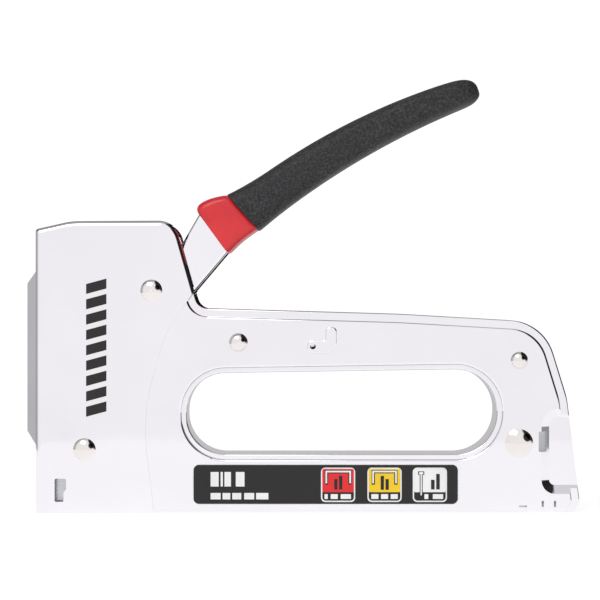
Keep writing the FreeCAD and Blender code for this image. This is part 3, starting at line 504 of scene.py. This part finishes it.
def rounded_block(mesh, low, high, corner, front, depth):
    """Add a flat block with rounded corners, its face at y = front; low and high are (x, z) in mm."""
    earlier = set(mesh.faces)
    square = bmesh.ops.create_grid(mesh, x_segments=1, y_segments=1, size=0.5)["verts"]
    size = ((high[0] - low[0]) * MM, (high[1] - low[1]) * MM, 1.0)
    middle = ((low[0] + high[0]) / 2 * MM, front, (low[1] + high[1]) / 2 * MM)
    upright = Matrix.Rotation(math.pi / 2, 3, "X")
    bmesh.ops.scale(mesh, vec=size, verts=square)
    bmesh.ops.rotate(mesh, cent=(0, 0, 0), matrix=upright, verts=square)
    bmesh.ops.translate(mesh, vec=middle, verts=square)
    if corner:
        bmesh.ops.bevel(mesh, geom=square, affect="VERTICES", offset=corner * MM, segments=4,
                        profile=0.5, material=-1)
    faces = [face for face in mesh.faces if face not in earlier]
    grown = bmesh.ops.extrude_face_region(mesh, geom=faces)["geom"]
    verts = [part for part in grown if isinstance(part, bmesh.types.BMVert)]
    bmesh.ops.translate(mesh, vec=(0.0, depth, 0.0), verts=verts)


def blocks(name, boxes, finish, layer, corner=0.0):
    """One print of several flat blocks, laid in the given layer over the label."""
    mesh = bmesh.new()
    front = LABEL_FACE - layer * PRINT * MM
    for low, high in boxes:
        rounded_block(mesh, low, high, corner, front, PRINT * MM)
    return finished(mesh, name, finish, "frame", smooth_angle=CREASE)


def staple_boxes(left, right, foot, top, bar):
    """The three bars of a staple sign."""
    return [((left, top - bar), (right, top)),
            ((left, foot), (left + bar, top - bar)),
            ((right - bar, foot), (right, top - bar))]


def sign(name, left, ground, dashes):
    """One square on the label: white edge, coloured ground and a dark foot with plain dashes."""
    right = left + 10.6
    low, high, edge = 3.5, 14.15, 0.42
    dash_low, dash_high = 4.45, 5.95
    blocks(name + "_edge", [((left, low), (right, high))], WHITE_INK, 1, corner=1.3)
    blocks(name + "_foot", [((left + edge, low + edge), (right - edge, 7.6))], FILM, 2, corner=1.0)
    blocks(name + "_ground", [((left + edge, 6.55), (right - edge, high - edge))], ground, 3,
           corner=0.45)
    boxes = [((left + start, dash_low), (left + stop, dash_high)) for start, stop in dashes]
    blocks(name + "_dashes", boxes, WHITE_INK, 3)


def label():
    """The prints on the dark label: three staple and nail signs and two lines of plain dashes."""
    sign("sign_red", 5.5, RED_INK, [(1.1, 2.1), (3.0, 5.2), (6.1, 9.3)])
    sign("sign_yellow", 19.9, YELLOW_INK, [(1.2, 3.4), (4.2, 6.4), (7.2, 9.4)])
    sign("sign_white", 33.95, WHITE_INK, [(3.6, 4.8), (6.2, 9.4)])
    for name, left, right in (("staple_wide", 6.7, 15.0), ("staple_narrow", 21.2, 29.2)):
        blocks(name + "_shade", staple_boxes(left, right, 8.9, 13.4, 1.0), FILM, 4)
        blocks(name, staple_boxes(left + 0.2, right - 0.2, 9.3, 13.2, 0.5), WHITE_INK, 5)
    blocks("nail_shade", [((35.6, 11.9), (37.5, 13.0)), ((36.1, 5.3), (37.0, 11.9))], FILM, 4)
    blocks("nail", [((35.9, 12.1), (37.2, 12.8)), ((36.35, 5.6), (36.75, 12.1))], WHITE_INK, 5)
    blocks("code_bars", [((9.6, 7.4), (10.6, 10.6)), ((11.1, 7.4), (12.1, 11.6)),
                         ((24.0, 7.3), (25.0, 11.6)), ((25.5, 7.3), (26.5, 10.6)),
                         ((39.6, 7.4), (40.7, 10.4)), ((41.2, 7.4), (42.3, 12.2))], INK, 4)
    big = [(-28.7, -26.2), (-25.6, -24.9), (-24.4, -22.4), (-20.9, -18.2)]
    small = [(-28.7, -25.6), (-25.0, -22.6), (-22.0, -19.2), (-18.3, -15.2), (-14.6, -10.8)]
    blocks("label_dashes", [((start, 8.3), (stop, 12.8)) for start, stop in big]
           + [((start, 4.3), (stop, 6.3)) for start, stop in small], WHITE_INK, 1)
    # A near-white ring just outside the label's edge: painted highlight standing for the film's lit
    # edge.
    low, high = (-34.0, 2.9), (47.9, 15.0)
    highlight_width, label_thick = 0.28, 0.15
    around = [((low[0] - highlight_width, low[1] - highlight_width), (high[0] + highlight_width, high[1] + highlight_width))]
    blocks("label_edge_painted_highlight", around, PAINTED_EDGE_HIGHLIGHT, 1 - round(label_thick / PRINT), corner=1.9)


def nose_print():
    """A plain column of slanted bars on the nose, printed dark."""
    mesh = bmesh.new()
    count, pitch, thick, slant = 9, 4.75, 3.1, 1.7
    left, right, foot = -67.2, -60.9, 30.8
    middle = (left + right) / 2
    front = COVER_FACE - PRINT * MM
    for step in range(count):
        start = len(mesh.verts)
        low = foot + step * pitch
        rounded_block(mesh, (left, low), (right, low + thick), 0.0, front, PRINT * MM)
        mesh.verts.ensure_lookup_table()
        for vert in mesh.verts[start:]:
            vert.co.z += slant * MM * (vert.co.x / MM - middle) / (right - left)
    finished(mesh, "nose_bars", INK, "frame", smooth_angle=CREASE)


def spring_travel():
    """Give the power spring a mesh of its own."""
    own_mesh(nodes["power_spring"])


grip()
collar()
label()
nose_print()
spring_travel()

bpy.context.scene.view_settings.view_transform = "Standard"
